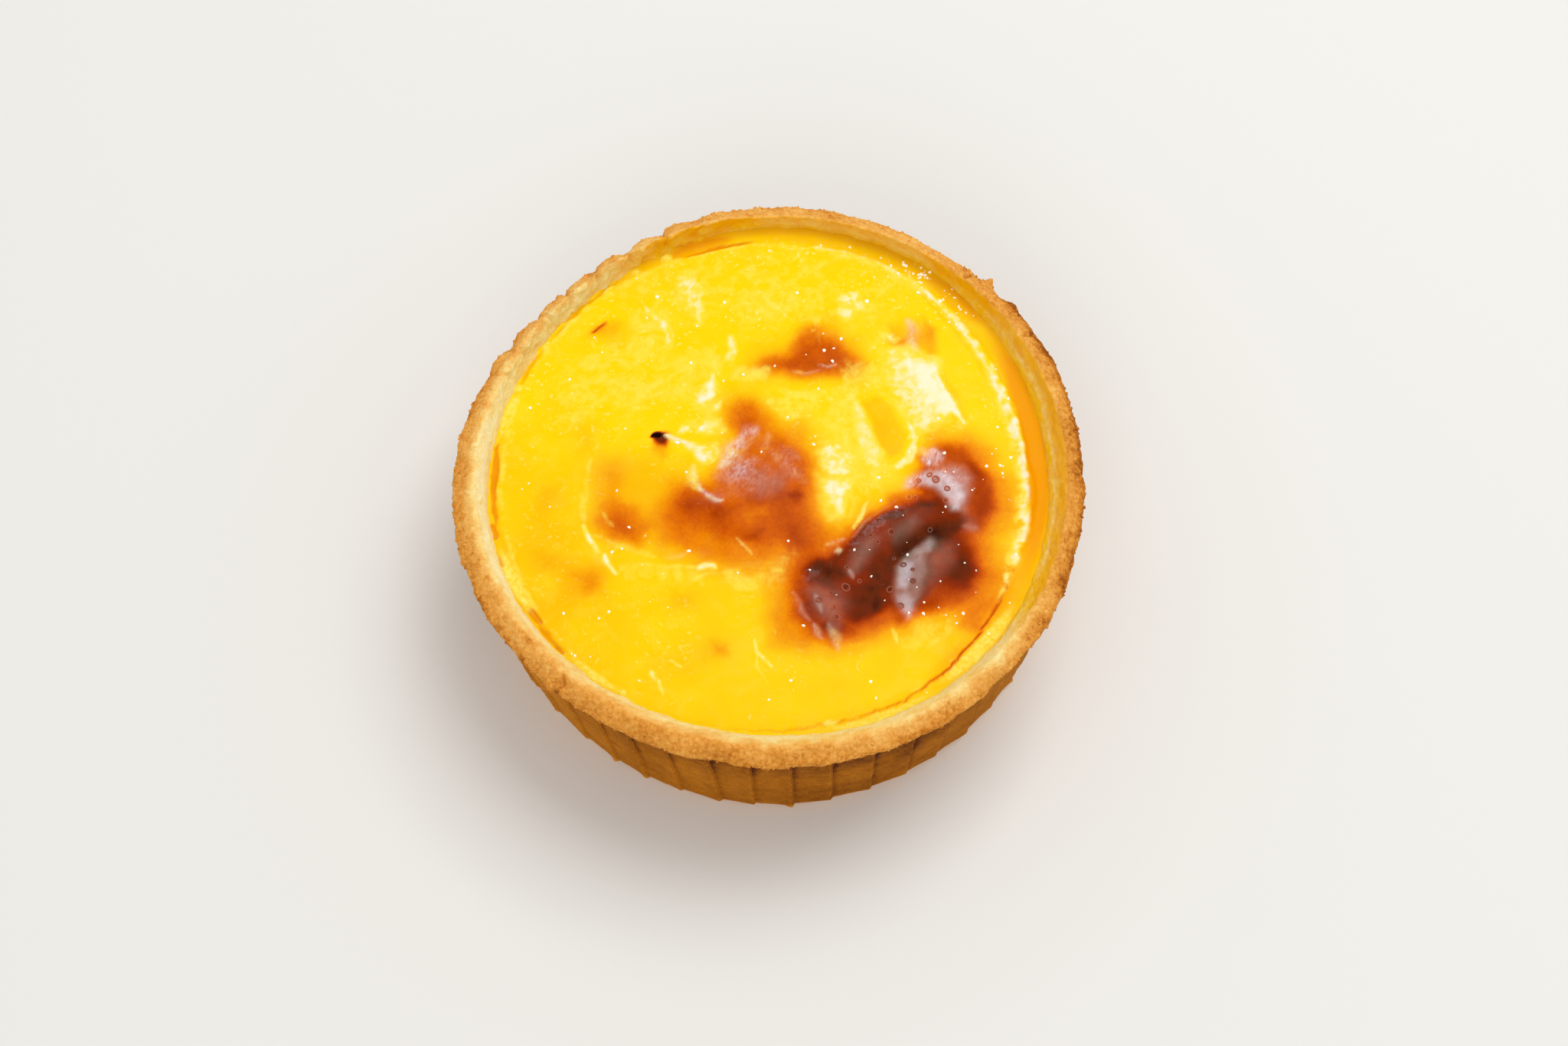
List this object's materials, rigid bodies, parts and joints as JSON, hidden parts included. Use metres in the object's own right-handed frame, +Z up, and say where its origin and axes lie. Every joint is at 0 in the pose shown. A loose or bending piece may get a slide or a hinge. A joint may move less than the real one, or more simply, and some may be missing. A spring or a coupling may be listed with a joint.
{
  "type": "custard flan tart",
  "caption": "Round baked custard flan tart: a pleated shortcrust case with a wavy folded rim, filled with glossy yellow custard that is scorched in patches.",
  "frame": {"origin": "middle of the flat underside", "axes": "+Z up out of the custard, -Y towards the front"},
  "size_m": [0.1063, 0.1057, 0.0334],
  "materials": {
    "crust": "dry, sandy baked shortcrust",
    "custard": "moist glossy baked custard skin, scorched brown in patches"
  },
  "bodies": {
    "root": {"crust": "crust", "custard": "custard"}
  },
  "joints": []
}
